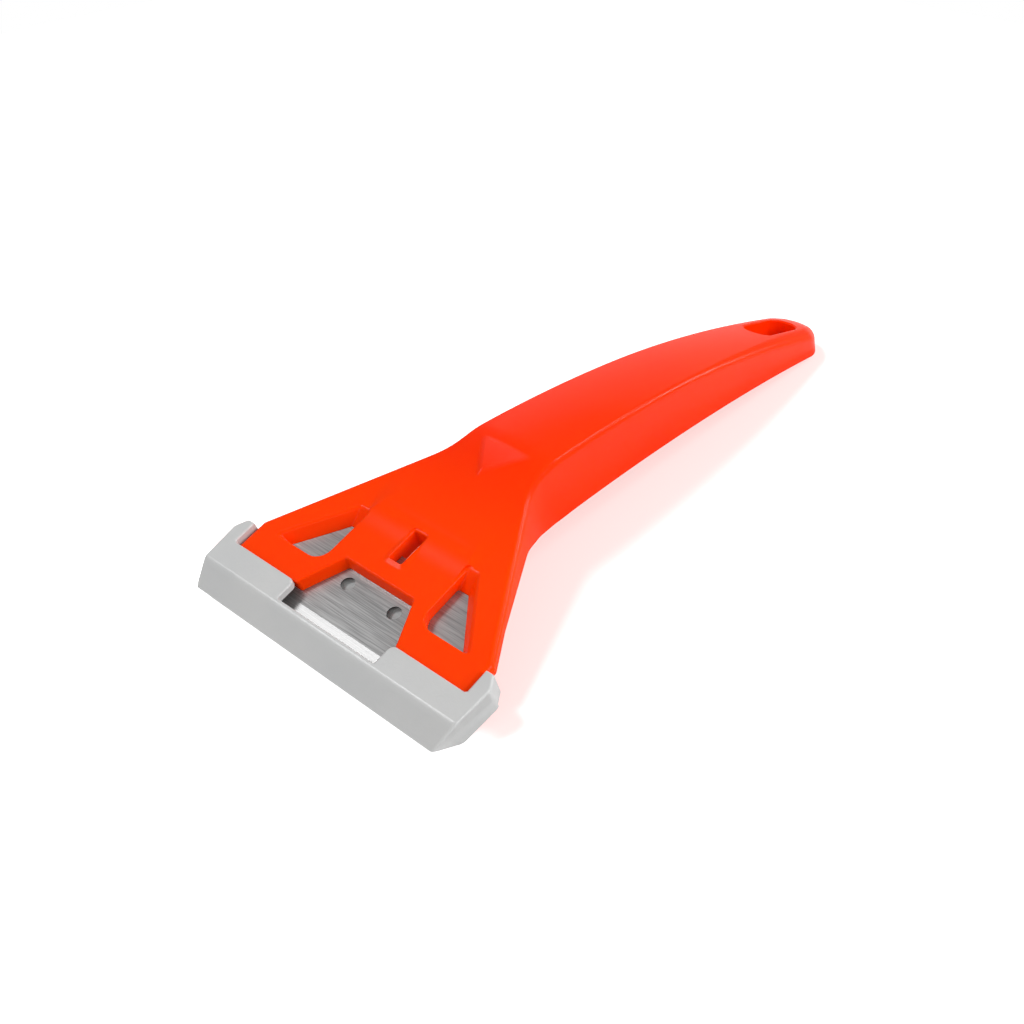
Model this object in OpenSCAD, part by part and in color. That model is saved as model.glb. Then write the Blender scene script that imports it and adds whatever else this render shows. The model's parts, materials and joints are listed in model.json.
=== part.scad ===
// Razor blade scraper: a one-piece moulded handle and head, a two-hole steel
// blade held in a slit behind the head's front face, and a push-on blade guard.
//
// The three pieces are drawn in the head's frame: X runs along the blade, Y runs
// back from the head's front face and Z stands up from the head's flat top.
// stand() then tips them onto a table, resting on the guard's toe and the
// handle's tail. All sizes are in millimetres and all angles in degrees.

/* [Blade] */
// Length of the blade along its cutting edge
blade_w = 60; // [50:0.5:62]
// Length of the blade along its back edge
blade_back_w = 49.6; // [44:0.2:50]
// Depth of the blade from cutting edge to back edge
blade_d = 22; // [20.5:0.1:22.2]
// Thickness of the steel
blade_t = 0.3; // [0.2:0.05:0.4]
// Width of the ground bevel
bevel_w = 2.1; // [1:0.1:3]
// Thickness left at the cutting edge
edge_t = 0.06; // [0.04:0.01:0.1]
// Diameter of the two holes
hole_d = 3.1; // [2:0.1:4]
// Distance between the centres of the two holes
hole_pitch = 13.4; // [10:0.1:15]
// Distance of the holes from the cutting edge
hole_setback = 10.9; // [9:0.1:12]
// How far the blade stands out of the head
blade_reach = 4.4; // [3.5:0.1:5]

/* [Head] */
// Width of the head across its sides
head_w = 66.2; // [65.5:0.1:67]
// Thickness of the head at its front
head_t = 4.3; // [4.2:0.1:6]
// Thickness of the top plate over the blade
plate_t = 2.6; // [2:0.1:2.8]
// Play between the blade and each side of its slit
slit_play = 0.05; // [0.03:0.01:0.1]
// Gap between the blade and the ends and back of its slit
slit_gap = 0.1; // [0.05:0.05:0.3]
// Distance from the front face to where the sides start to converge
shoulder_y = 7.3; // [6.5:0.1:9]
// How much each side closes in per millimetre behind the shoulder
flank_rate = 0.585; // [0.55:0.005:0.6]
// Height of the head's side faces at the front, above the sloping underside
side_h = 0.1; // [0.1:0.05:0.6]
// Extra height of the side faces per millimetre behind the front
side_rate = 0.19; // [0.17:0.005:0.2]
// Radius of the long top edges
edge_r = 1.5; // [0.8:0.1:1.6]

/* [Openings in the head] */
// Half width of the front cut-out at the front face
cut_front = 14; // [12:0.1:15]
// Half width of the front cut-out at its back
cut_back = 9.8; // [9:0.1:11]
// Depth of the front cut-out
cut_d = 10.1; // [9.5:0.1:11]
// Slope of the cut-out's walls, as an inset at the blade
cut_inset = 0.6; // [0.2:0.1:0.9]
// Distance from the centre to each side window
win_in = 14.1; // [13.5:0.1:15]
// Distance from the centre to the window's outer front corner
win_out = 27.6; // [26:0.1:28]
// Distance from the front face to the window's front edge
win_front = 6.45; // [6:0.05:7]
// Distance from the front face to the window's back edge
win_back = 21.5; // [20:0.1:22]
// Length of the window's short back edge
win_tip = 2.6; // [2:0.1:3.5]
// Radius of the window's inner front corner
win_r = 3.5; // [2.5:0.1:4]
// Inset of the window's outer wall at the blade
win_inset = 2.5; // [1:0.1:3]
// Inset of the window's back wall at the blade
win_back_inset = 4.1; // [2:0.1:4.5]
// Width of the push-out slot behind the cut-out
slot_w = 3.5; // [2.5:0.1:4]
// Distance from the front face to the slot
slot_front = 14.8; // [13.5:0.1:15]
// Length of the slot
slot_l = 7.9; // [6:0.1:8.5]
// Height of the raised rim round the slot
slot_rim_h = 0.3; // [0.1:0.1:0.5]
// Width of the raised rim round the slot
slot_rim_w = 0.8; // [0.5:0.1:1]
// Distance from the front face to the ledge between the windows
ledge_front = 17.8; // [17:0.1:18.5]
// Length of the ledge's front ramp
ledge_ramp_l = 4.6; // [3:0.1:5]
// Height of the ledge
ledge_h = 0.6; // [0.4:0.1:0.8]
// Length of the ledge's flat top
ledge_l = 2.3; // [1.5:0.1:3]
// Length over which the ledge sinks into the handle's crown
ledge_fade_l = 11; // [6:0.5:14]

/* [Handle] */
// Width of the handle at the neck
neck_w = 22.5; // [20:0.1:24]
// Width of the handle near its tail
tail_w = 14.6; // [13:0.1:17]
// Distance from the front face to the bend of the top
bend_y = 49.8; // [48:0.1:53]
// Distance from the front face to the tip of the tail
tail_y = 159; // [145:0.2:165]
// Angle by which the handle drops from the head's plane
pitch = 17.2; // [15:0.1:19]
// Radius of the handle's bow
bow_r = 390; // [350:5:500]
// Height of the handle's side walls at the neck
neck_h = 16.8; // [15.5:0.1:18.5]
// Height of the side walls at the tail
tail_h = 7.6; // [6.5:0.1:9]
// Distance from the front face to where the belly leaves the head
belly_y = 31.1; // [30:0.1:33]
// Angle at which the belly drops from the head to the handle
belly = 38.5; // [36:0.5:42]
// Thickness of the handle's walls
wall = 2.2; // [1.8:0.1:2.4]
// Height of the crown across the handle's top
crown = 1; // [0.4:0.1:1.6]
// Height of the crown at the tail
tail_crown = 0.2; // [0.1:0.1:1]
// Radius of the top edges at the tail
tail_edge_r = 3.4; // [2:0.1:3.6]
// Length of the rounded end of the tail
tail_round = 8; // [6:0.1:10]
// Length of the hanging hole
hang_l = 19; // [16:0.1:20]
// Width of the hanging hole
hang_w = 8; // [6:0.1:8.4]
// Distance from the hanging hole to the tail's tip
hang_margin = 5.4; // [5:0.1:7]
// Number of cross ribs under the handle
rib_count = 3; // [1:1:5]
// Thickness of a cross rib
rib_t = 1.4; // [1:0.1:2]
// Height of the raised arrow on the neck
arrow_h = 0.3; // [0.2:0.1:0.8]
// Half width of the raised arrow
arrow_w = 5.8; // [4:0.1:6.5]
// Length of the raised arrow
arrow_l = 8; // [6:0.1:9]
// Radius of the raised arrow's corners
arrow_r = 0.9; // [0.5:0.1:1.5]
// Distance from the bend to the raised arrow's base
arrow_gap = 0.2; // [0:0.1:2]

/* [Blade guard] */
// Height of the guard above the head's flat top
lip_h = 1.1; // [0.6:0.1:1.5]
// Thickness of the guard's lips over the blade
lip_t = 1.7; // [1.2:0.1:2]
// Depth of the guard in front of the head's front face, at its top edge
guard_d = 6.3; // [5.8:0.1:7]
// How far the guard's nose stands in front of its top edge
nose_d = 5.7; // [4:0.1:7]
// Thickness of the guard's front wall at its top edge
front_t = 1.2; // [1:0.1:1.3]
// Thickness of the guard's floor
floor_t = 1.2; // [1:0.1:1.6]
// Half width of the gap between the two lips
lip_gap = 14; // [12:0.1:15]
// Thickness of the guard's ends
end_t = 3.6; // [3:0.1:4.5]
// How much each end flares out towards the back
flare = 0.5; // [0:0.1:0.8]
// How much each end draws in at the nose
nose_in = 1.8; // [1:0.1:2.5]
// Length of the ears beside the head
ear_l = 5.6; // [4.5:0.1:6.4]
// Length of the guard's floor under the head
floor_l = 3.1; // [2:0.1:4]
// Half width of the tongue under the blade, at its root
tongue_w = 12.2; // [9:0.1:12.5]
// Half width of the tongue at its tip
tongue_tip = 8; // [6:0.1:8.4]
// Length of the tongue behind the head's front face
tongue_l = 8.6; // [6:0.1:8.8]
// Gap between the blade and the tongue
tongue_gap = 0.9; // [0.6:0.1:1.1]
// Running gap between the guard and the head
guard_gap = 0.1; // [0.05:0.05:0.3]

/* [Hidden] */

$fn = 48;

// Overrun of every cut past the faces it opens
over = 3;

// Levels of the slit and of the blade in it
slit_top = -plate_t;
blade_top = slit_top - slit_play;
blade_low = blade_top - blade_t;
slit_low = blade_low - slit_play;
cut_edge_y = -blade_reach;
blade_back_y = cut_edge_y + blade_d;
slit_back_y = blade_back_y + slit_gap;
slit_mid = (slit_top + slit_low) / 2;

// Small bevel along the lower edge of the side walls
rim_in = 0.5;
rim_up_share = 0.6;

// Lengths over which the flank, the neck, the bend and the belly blend into each other
neck_blend_l = 2.4;
bend_blend_l = 1.2;
belly_blend_l = 4;
head_blend_l = 1;

// Places along the handle that its shapes follow
crown_y = win_back + win_tip;
hollow_y = max(slit_back_y, slot_front + slot_l) + wall;
hang_y = tail_y - hang_margin - hang_l / 2;
hollow_end_y = hang_y - hang_l / 2 - wall;

// Smooth larger and smaller of two values, with a blend k wide
function soft_max(a, b, k) = max(a, b) + k * pow(max(k - abs(a - b), 0) / k, 2) / 4;
function soft_min(a, b, k) = -soft_max(-a, -b, k);
function ramp(t) = let(u = min(max(t, 0), 1)) u * u * (3 - 2 * u);
function along(y) = (y - bend_y) / (tail_y - bend_y);

// Height of a circular bow that leaves a point at the handle's pitch
function bow(y) = sqrt(bow_r * bow_r - pow(y - bend_y + bow_r * sin(pitch), 2)) - bow_r * cos(pitch);

// Share of the handle before its top edges start to widen, and how late its side walls get lower
round_share = 0.4;
slim_power = 2.3;

// Half width, top edge height, crown, edge radius and underside of the moulding
function flank(y) = min(head_w / 2, head_w / 2 - flank_rate * (y - shoulder_y));
function shaft(y) = (neck_w + (tail_w - neck_w) * along(y)) / 2;
function half_w(y) = soft_max(flank(y), shaft(y), neck_blend_l);
function top_z(y) = y < crown_y ? 0 : soft_min(0, bow(y), bend_blend_l);
function crown_z(y) =
    (crown + (tail_crown - crown) * max(along(y), 0)) * ramp((y - crown_y) / (bend_y - crown_y));
function round_r(y) = edge_r + (tail_edge_r - edge_r) * ramp((along(y) - round_share) / (1 - round_share));
function shaft_h(y) = neck_h + (tail_h - neck_h) * pow(max(along(y), 0), slim_power);
function belly_z(y) = -head_t - tan(belly) * (y - belly_y);
function side_z(y) = soft_min(-max(side_h + side_rate * y, 2 * edge_r),
    soft_max(belly_z(y), top_z(y) - shaft_h(y), belly_blend_l), head_blend_l);
function low_z(y) = min(-head_t, side_z(y));

// Share of its full size that the tail keeps at y: rounded in plan, and blunter from the side
blunt_power = 4;
function tail_u(y) = max(y - tail_y + tail_round, 0) / tail_round;
function plan_share(y) = sqrt(max(1 - pow(tail_u(y), 2), 0));
function side_share(y) = pow(max(1 - pow(tail_u(y), blunt_power), 0), 1 / blunt_power);

// Stations of the moulding from the front face to the tail's tip
head_station_l = 3.2;
handle_station_l = 4;
tip_steps = 7;
tip_angle = 86;
tip_start = tail_y - tail_round;
head_n = floor((bend_y - shoulder_y) / head_station_l);
handle_n = floor((tip_start - bend_y) / handle_station_l);
stations = concat(
    [0, shoulder_y / 2],
    [for (i = [0:head_n - 1]) shoulder_y + (bend_y - shoulder_y) * i / head_n],
    [for (i = [0:handle_n - 1]) bend_y + (tip_start - bend_y) * i / handle_n],
    [for (i = [0:tip_steps]) tip_start + tail_round * sin(tip_angle * i / tip_steps)]);

// One outline of the outer shell, from the lower right edge over the top to the left
round_steps = 3;
top_steps = 3;
function outer_half(y) = let(
        w = half_w(y) * plan_share(y),
        mid = (top_z(y) + low_z(y)) / 2,
        top = mid + (top_z(y) - mid) * side_share(y),
        low = mid + (low_z(y) - mid) * side_share(y),
        r = min(round_r(y), w / 2),
        step = (side_z(y) - low_z(y)) * side_share(y),
        rim = min(rim_in, w / 4))
    concat(
        [[w - rim - step, low], [w, low + step + rim * rim_up_share]],
        [for (i = [0:round_steps]) let(a = 90 * i / round_steps) [w - r + r * cos(a), top - r + r * sin(a)]],
        [for (i = [1:top_steps]) let(t = 1 - i / top_steps)
            [(w - r) * t, top + crown_z(y) * (1 - t * t)]]);
function inner_half(y) = let(
        w = half_w(y) - wall,
        top = top_z(y) - (y < crown_y ? plate_t : wall))
    [[w, low_z(y) - over], [w, top - edge_r / 2], [w - edge_r / 2, top], [0, top + crown_z(y)]];
function mirrored(half) = concat(half, [for (i = [len(half) - 2:-1:0]) [-half[i][0], half[i][1]]]);
function ring(half, y) = [for (p = mirrored(half)) [p[0], y, p[1]]];

// Solid through a list of rings that all have the same number of points
module loft(rings) {
    n = len(rings[0]);
    m = len(rings);
    points = [for (r = rings) for (p = r) p];
    sides = [for (i = [0:m - 2]) for (j = [0:n - 1]) let(
            a = i * n + j, b = i * n + (j + 1) % n, c = b + n, d = a + n)
        each [[a, b, c], [a, c, d]]];
    front = [for (j = [1:n - 2]) [0, j + 1, j]];
    back = [for (j = [1:n - 2]) [(m - 1) * n, (m - 1) * n + j, (m - 1) * n + j + 1]];
    polyhedron(points, concat(sides, front, back));
}

// Cut whose outline changes from low to top, for sloping walls
module tapered_cut(low, top, low_z, top_z) {
    n = len(low);
    points = concat([for (p = low) [p[0], p[1], low_z]], [for (p = top) [p[0], p[1], top_z]]);
    sides = [for (i = [0:n - 1]) let(j = (i + 1) % n) each [[n + j, j, i], [n + i, n + j, i]]];
    ends = [for (j = [1:n - 2]) each [[0, j, j + 1], [n + j + 1, n + j, n]]];
    polyhedron(points, concat(sides, ends));
}

module both_sides() {
    children();
    mirror([1, 0, 0]) children();
}

// Block between two opposite corners
module block(a, b) {
    translate(a) cube(b - a);
}

// Sloping walls run on past the head's top by this share of their height
rise_share = 0.2;
rise_z = -slit_mid * rise_share;

// Outline of the front cut-out, drawn in by inset
function cut_outline(inset) = [
    [-cut_front + inset, -over], [cut_front - inset, -over], [cut_front - inset, 0],
    [cut_back - inset, cut_d - inset], [-cut_back + inset, cut_d - inset], [-cut_front + inset, 0]];

module front_cut() {
    // Sloping part above the blade, and straight part below it
    tapered_cut(cut_outline(cut_inset), cut_outline(-cut_inset * rise_share), slit_mid, rise_z);
    translate([0, 0, slit_mid - head_t]) linear_extrude(head_t) polygon(cut_outline(cut_inset));
}

// Outline of the right window: out and back are the insets of its outer and back walls
win_corner_steps = 4;
function window_outline(out, back) = concat(
    [[win_out - out, win_front], [win_in + win_tip, win_back - back], [win_in, win_back - back]],
    [for (i = [0:win_corner_steps]) let(a = 180 + 90 * i / win_corner_steps)
        [win_in + win_r * (1 + cos(a)), win_front + win_r * (1 + sin(a))]]);

module window() {
    tapered_cut(window_outline(win_inset, win_back_inset),
        window_outline(-win_inset * rise_share, -win_back_inset * rise_share), slit_mid, rise_z);
}

// Raised ledge between the windows: a ramp, a flat top and a long fall into the crown
module ledge() {
    root = -plate_t / 2;
    ramp_end = ledge_front + ledge_ramp_l;
    back = ramp_end + ledge_l + ledge_fade_l;
    translate([-win_in, 0, 0]) rotate([90, 0, 90]) linear_extrude(2 * win_in)
        polygon([[ledge_front, root], [back, root], [back, 0], [ramp_end + ledge_l, ledge_h],
            [ramp_end, ledge_h], [ledge_front, 0]]);
}

module slot_rim() {
    wide = slot_w / 2 + slot_rim_w;
    block([-wide, slot_front - slot_rim_w, -plate_t / 2],
        [wide, slot_front + slot_l + slot_rim_w, slot_rim_h]);
}

module push_slot() {
    block([-slot_w / 2, slot_front, -neck_h], [slot_w / 2, slot_front + slot_l, over]);
}

// Plan of the blade, or of its slit with a gap all round it
blade_in = (blade_w - blade_back_w) / 2 / blade_d;
function blade_plan(gap, front) = let(
        wide = blade_w / 2 + gap + blade_in * (cut_edge_y - front),
        back = blade_back_w / 2 + gap - blade_in * gap)
    [[-wide, front], [wide, front], [back, blade_back_y + gap], [-back, blade_back_y + gap]];

module slit() {
    translate([0, 0, slit_low]) linear_extrude(slit_top - slit_low)
        polygon(blade_plan(slit_gap, cut_edge_y));
}

// Hollow under the neck and the handle, left open below
hollow_steps = 28;
module hollow() {
    span = hollow_end_y - hollow_y;
    loft([for (i = [0:hollow_steps]) let(y = hollow_y + span * i / hollow_steps) ring(inner_half(y), y)]);
}

// Hanging hole, cut upright through the solid tail as the scraper stands on the table
module hang_hole() {
    straight = hang_l - hang_w;
    depth = neck_h + over;
    translate([0, hang_y, top_z(hang_y)]) rotate([-rest_tilt, 0, 0])
        translate([0, 0, -depth]) linear_extrude(2 * depth)
            hull()
                for (side = [-1, 1])
                    translate([0, side * straight / 2]) circle(d = hang_w);
}

// Cross ribs inside the hollow, shorter than its walls
rib_share = 0.55;
module ribs() {
    reach = hang_y - hang_l / 2 - bend_y;
    for (i = [1:rib_count]) {
        y = bend_y + reach * i / (rib_count + 1) - rib_t / 2;
        w = half_w(y) - wall / 2;
        top = top_z(y) - wall / 2;
        block([-w, y, top - shaft_h(y) * rib_share], [w, y + rib_t, top - wall / 2]);
    }
}

// Raised arrow on the neck that points at the blade
module arrow() {
    base = bend_y - arrow_gap - arrow_r;
    half = arrow_w - arrow_r;
    tip = base + 2 * arrow_r - arrow_l;
    top = top_z(base) + crown_z(base) + arrow_h;
    hull()
        for (p = [[-half, base], [half, base], [0, tip]])
            translate([p[0], p[1], top - wall]) cylinder(r = arrow_r, h = wall);
}

// Piece one: head, neck and handle in one moulding
module handle_moulding() {
    difference() {
        union() {
            difference() {
                union() {
                    loft([for (y = stations) ring(outer_half(y), y)]);
                    ledge();
                    slot_rim();
                    arrow();
                }
                hollow();
            }
            ribs();
        }
        front_cut();
        slit();
        push_slot();
        both_sides() window();
        hang_hole();
    }
}

// Piece two: the blade, ground on its upper side and drilled with two holes
module blade_steel() {
    difference() {
        intersection() {
            translate([-blade_w / 2, 0, 0]) rotate([90, 0, 90]) linear_extrude(blade_w)
                polygon([[cut_edge_y, blade_low], [blade_back_y, blade_low], [blade_back_y, blade_top],
                    [cut_edge_y + bevel_w, blade_top], [cut_edge_y, blade_low + edge_t]]);
            translate([0, 0, blade_low - over]) linear_extrude(blade_t + 2 * over)
                polygon(blade_plan(0, cut_edge_y));
        }
        for (side = [-1, 1])
            translate([side * hole_pitch / 2, cut_edge_y + hole_setback, blade_low - over])
                cylinder(d = hole_d, h = blade_t + 2 * over);
    }
}

// Levels and places of the guard
guard_top = lip_h;
guard_low = -head_t - guard_gap - floor_t;
guard_front = -guard_d;
nose_y = guard_front - nose_d;
nose_z = (guard_top + guard_low) / 2;
ear_in = head_w / 2 + guard_gap;
ear_out = ear_in + end_t;
floor_top = guard_low + floor_t;
tongue_top = blade_low - tongue_gap;
ear_tip_r = 1;

// Side outline of the guard: blunt nose, flat top and flat floor
module guard_side() {
    polygon([[nose_y, nose_z], [guard_front, guard_low], [tongue_l, guard_low],
        [tongue_l, guard_top], [guard_front, guard_top]]);
}

// Plan of the guard: drawn in at the nose, flared and eared at the back
module guard_plan() {
    half = [[ear_out - flare - nose_in, nose_y], [ear_out - flare, guard_front],
        [ear_out, ear_l / 2], [ear_out - end_t / 2, ear_l - ear_tip_r / 2], [ear_in + ear_tip_r, ear_l],
        [ear_in + ear_tip_r / 2, ear_l], [ear_in, ear_l - ear_tip_r]];
    polygon(concat(half, [for (i = [len(half) - 1:-1:0]) [-half[i][0], half[i][1]]]));
}

// Space that the blade and the head take inside the guard
module guard_inside() {
    reach = ear_l + over;
    // Room for the standing part of the blade, under the lips
    block([-ear_in, guard_front + front_t, floor_top], [ear_in, reach, guard_top - lip_t]);
    // Room for the head, between the ears
    block([-ear_in, -guard_gap, floor_top], [ear_in, reach, guard_top + over]);
    // Gap between the lips, where the blade shows
    block([-lip_gap, guard_front + front_t, floor_top], [lip_gap, reach, guard_top + over]);
    // Open back of the floor, leaving the tongue to stand free
    block([-ear_out - over, floor_l, guard_low - over], [ear_out + over, reach + tongue_l, floor_top]);
}

// Tongue that lies under the blade in the head's front cut-out
module guard_tongue() {
    root = guard_front + front_t / 2;
    translate([0, 0, floor_top - floor_t / 2]) linear_extrude(tongue_top - floor_top + floor_t / 2)
        polygon([[-tongue_w, root], [tongue_w, root], [tongue_w, 0], [tongue_tip, tongue_l],
            [-tongue_tip, tongue_l], [-tongue_w, 0]]);
}

// Piece three: the push-on blade guard
module guard_moulding() {
    difference() {
        intersection() {
            translate([-ear_out, 0, 0]) rotate([90, 0, 90]) linear_extrude(2 * ear_out) guard_side();
            translate([0, 0, guard_low]) linear_extrude(guard_top - guard_low) guard_plan();
        }
        guard_inside();
    }
    guard_tongue();
}

// Tilt at which the scraper rests on the guard's toe and the handle's tail
toe_y = guard_front;
toe_z = guard_low;
tip_mid_z = (top_z(tail_y) + low_z(tail_y)) / 2;
function foot_z(y) = tip_mid_z + (low_z(y) - tip_mid_z) * (y > tip_start ? side_share(y) : 1);
rest_tilt = max([for (y = stations) atan2(toe_z - foot_z(y), y - toe_y)]);

// Place on the table: toe and tail down, and the whole length centred on the origin
function stand_y(y, z) = y * cos(rest_tilt) - z * sin(rest_tilt);
function stand_z(y, z) = y * sin(rest_tilt) + z * cos(rest_tilt);
front_y = stand_y(nose_y, nose_z);
back_y = max([for (y = stations) let(t = top_z(y), u = low_z(y), m = (t + u) / 2)
    max(stand_y(y, m + (t - m) * side_share(y)), stand_y(y, m + (u - m) * side_share(y)))]);

module stand() {
    translate([0, -(front_y + back_y) / 2, -stand_z(toe_y, toe_z)]) rotate([rest_tilt, 0, 0]) children();
}

module handle() {
    color("orangered") stand() handle_moulding();
}

module blade() {
    color("silver") stand() blade_steel();
}

module blade_guard() {
    color("gainsboro") stand() guard_moulding();
}

handle();
blade();
blade_guard();
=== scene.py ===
"""The looks of a razor blade scraper: a glossy moulded handle, a brushed steel blade and a satin guard.

Every piece is drawn in the head's own frame, in millimetres: X runs along the blade, Y runs back from
the head's front face and Z stands up from the head's flat top. place() takes a point from there to the
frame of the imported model.
"""

import json
import math

import bmesh
import bpy
from mathutils import Matrix, Vector


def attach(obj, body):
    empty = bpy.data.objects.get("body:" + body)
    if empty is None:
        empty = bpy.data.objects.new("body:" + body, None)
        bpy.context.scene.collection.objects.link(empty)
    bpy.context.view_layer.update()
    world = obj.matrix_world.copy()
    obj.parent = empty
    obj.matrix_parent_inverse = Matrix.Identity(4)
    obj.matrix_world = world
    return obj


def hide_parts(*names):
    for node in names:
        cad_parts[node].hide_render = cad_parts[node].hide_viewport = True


MM = 0.001

# Blade, in millimetres
BLADE_W = 60.0
BLADE_BACK_W = 49.6
BLADE_D = 22.0
BLADE_T = 0.3
BLADE_EDGE_T = 0.03
BEVEL_W = 2.1
BLADE_REACH = 4.4
HOLE_D = 3.1
HOLE_PITCH = 13.4
HOLE_SETBACK = 10.9

# Head
HEAD_W = 66.2
HEAD_T = 4.3
PLATE_T = 2.6
SHOULDER_Y = 7.3
FLANK_RATE = 0.585
SIDE_H = 0.1
SIDE_RATE = 0.19
EDGE_R = 1.5
SLIT_PLAY = 0.05
SLIT_GAP = 0.1

# Openings in the head
CUT_FRONT = 14.0
CUT_BACK = 9.8
CUT_D = 10.1
CUT_DRAFT = 0.6
CUT_TIP_R = 0.9
CUT_CORNER_R = 0.7
CUT_OVERLAP = 0.05
WIN_IN = 14.1
WIN_OUT = 27.6
WIN_FRONT = 6.45
WIN_BACK = 21.5
WIN_TIP = 2.6
WIN_R = 3.5
WIN_RADII = (WIN_R, 0.5, 0.6, 0.6)
WIN_DRAFT = 2.5
WIN_BACK_DRAFT = 4.1
SLOT_W = 3.5
SLOT_FRONT = 14.8
SLOT_L = 7.9
SLOT_RADII = (0.4, 0.4, 0.4, 0.4)
RIM_R = 0.45
CUT_RIM_R = RIM_R * 0.7
SLOT_MOUTH_R = RIM_R * 0.8

# Raised forms on the head's top
RAMP_FRONT = 17.2
RAMP_BACK = 23.4
RAMP_HALF = 14.3
RAMP_H = 0.6
RAMP_FLAT = 1.0
RAMP_FADE = 15.0
RAMP_FLANK = 0.8
RAMP_SPREAD = 0.8
SLOT_RIM_W = 1.2
SLOT_RIM_H = 0.3
SLOT_RIM_SHARE = 0.5
SLOT_MOUTH_Z = RAMP_H * 0.6
VALLEY_Y = 24.7
VALLEY_DEPTH = 0.16
VALLEY_SPREAD = 1.1
VALLEY_HALF = 9.0
VALLEY_FADE = 6.0
ARROW_BASE = 50.3
ARROW_TIP = 39.4
ARROW_HALF = 7.8
ARROW_H = 0.25
ARROW_WALL = 1.5
ARROW_TIP_R = 1.2
ARROW_BASE_R = 1.6
# Name of the mask for the painted sheen on the arrow's top
ARROW_SHEEN_ATTRIBUTE = "arrow_painted_sheen"

# Handle
NECK_W = 22.5
TAIL_W = 14.6
NECK_BLEND = 2.4
BEND_Y = 49.8
BEND_BLEND = 1.2
TAIL_Y = 159.0
PITCH = math.radians(17.2)
BOW_R = 390.0
NECK_H = 16.8
TAIL_H = 7.6
TAPER_POWER = 2.3
BELLY_Y = 31.1
BELLY = math.radians(38.5)
BELLY_BLEND = 4.0
SIDE_BLEND = 1.0
WALL = 2.2
CROWN = 1.0
TAIL_CROWN = 0.2
CROWN_Y = WIN_BACK + WIN_TIP
TAIL_EDGE_R = 3.4
TAIL_EDGE_START = 0.4
LOW_EDGE_R = 0.5
TAIL_ROUND = 8.0
TAIL_SQUARE = 4
HANG_L = 19.0
HANG_W = 8.0
HANG_MARGIN = 5.4
HANG_RIM_R = 0.35
RIB_COUNT = 3
RIB_T = 1.4
RIB_SHARE = 0.55

# Blade guard
LIP_H = 1.1
LIP_T = 1.7
GUARD_D = 6.3
NOSE_D = 5.7
NOSE_BLEND = 0.16
FRONT_T = 1.2
FLOOR_T = 1.2
LIP_GAP = 14.0
END_T = 3.6
FLARE = 0.5
NOSE_IN = 1.8
EAR_L = 5.6
EAR_CUT = 0.45
EAR_ROOT = 2.0
GUARD_RADII = (0.9, 2.2, 0.9, 0.9, 0.3)
FLOOR_L = 3.1
TONGUE_W = 12.2
TONGUE_TIP = 8.9
TONGUE_L = 8.8
TONGUE_GAP = 0.9
TONGUE_RADII = (0.3, 0.3, 1.5, 0.5, 0.5, 1.5)
TONGUE_EDGE = 0.2
GUARD_GAP = 0.1
GUARD_EDGE_R = 0.6
GUARD_RIM_R = 0.5
LIP_CORNER_R = 1.5
LIP_CUT = 0.3
EAR_IN_CUT = 0.4

# Levels that follow from the sizes above
SLIT_TOP = -PLATE_T
BLADE_TOP = SLIT_TOP - SLIT_PLAY
BLADE_LOW = BLADE_TOP - BLADE_T
SLIT_LOW = BLADE_LOW - SLIT_PLAY
SLIT_MID = (SLIT_TOP + SLIT_LOW) / 2
CUT_EDGE_Y = -BLADE_REACH
BLADE_BACK_Y = CUT_EDGE_Y + BLADE_D
BLADE_RATE = (BLADE_W - BLADE_BACK_W) / 2 / BLADE_D
GUARD_LOW = -HEAD_T - GUARD_GAP - FLOOR_T
FLOOR_TOP = GUARD_LOW + FLOOR_T
EAR_IN = HEAD_W / 2 + GUARD_GAP
EAR_OUT = EAR_IN + END_T
HANG_Y = TAIL_Y - HANG_MARGIN - HANG_L / 2
OVER = 3.0

# Rounded mouths: where the fillet stops, in degrees, and its flare and lift as shares of its radius
MOUTH_END = 84
MOUTH_FLARE = 0.5
MOUTH_LIFT = 0.1

# Mesh density, in points or steps, and in millimetres between the handle's stations
TOP_STEPS = 70
ROUND_STEPS = 7
LOW_EDGE_STEPS = 3
SIDE_STEPS = 5
HEAD_STEP = 0.42
HANDLE_STEP = 0.8
FINE_REACH = 8.0
TAIL_STEPS = 22
TAIL_LAST = math.radians(88)
HOLLOW_STEPS = 90
HOLLOW_ARC = (0.3, 1.5, 3)
CORNER_STEPS = 6
MOUTH_STEPS = 5
HANG_STEPS = 24
HANG_ROUNDS = 6
BLADE_STEPS = 24
HOLE_STEPS = 64
GUARD_STEPS = 16
LIP_STEPS = 7

# Corners above these angles, in degrees, stay sharp; weight of flat faces in the shading
SHARP_ANGLE = 38.0
BLADE_SHARP_ANGLE = 4.0
FLAT_WEIGHT = 80

# How far an outline's corner may reach out when it grows: the least cosine of half its turn
MITRE_LIMIT = 0.5

# How the blade's faces are told apart by their normals
BEVEL_FRONT = -0.05
BEVEL_UP = 0.5
WALL_UP = 0.3

# Camera, solved from the photograph in the head's frame
CAMERA_AT = (146.876, -58.897, 185.048)
CAMERA_AZIMUTH = math.radians(54.574)
CAMERA_ELEVATION = math.radians(48.265)
CAMERA_ROLL = math.radians(-18.400)
CAMERA_FOCAL_PX = 1241.0
PHOTO_PX = 1024.0
SENSOR_MM = 36.0
CLIP_START = 0.01

# Noise is read between these values; its scale is per metre, and comes with its detail
NOISE_RANGE = (0.2, 0.8)
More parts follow.
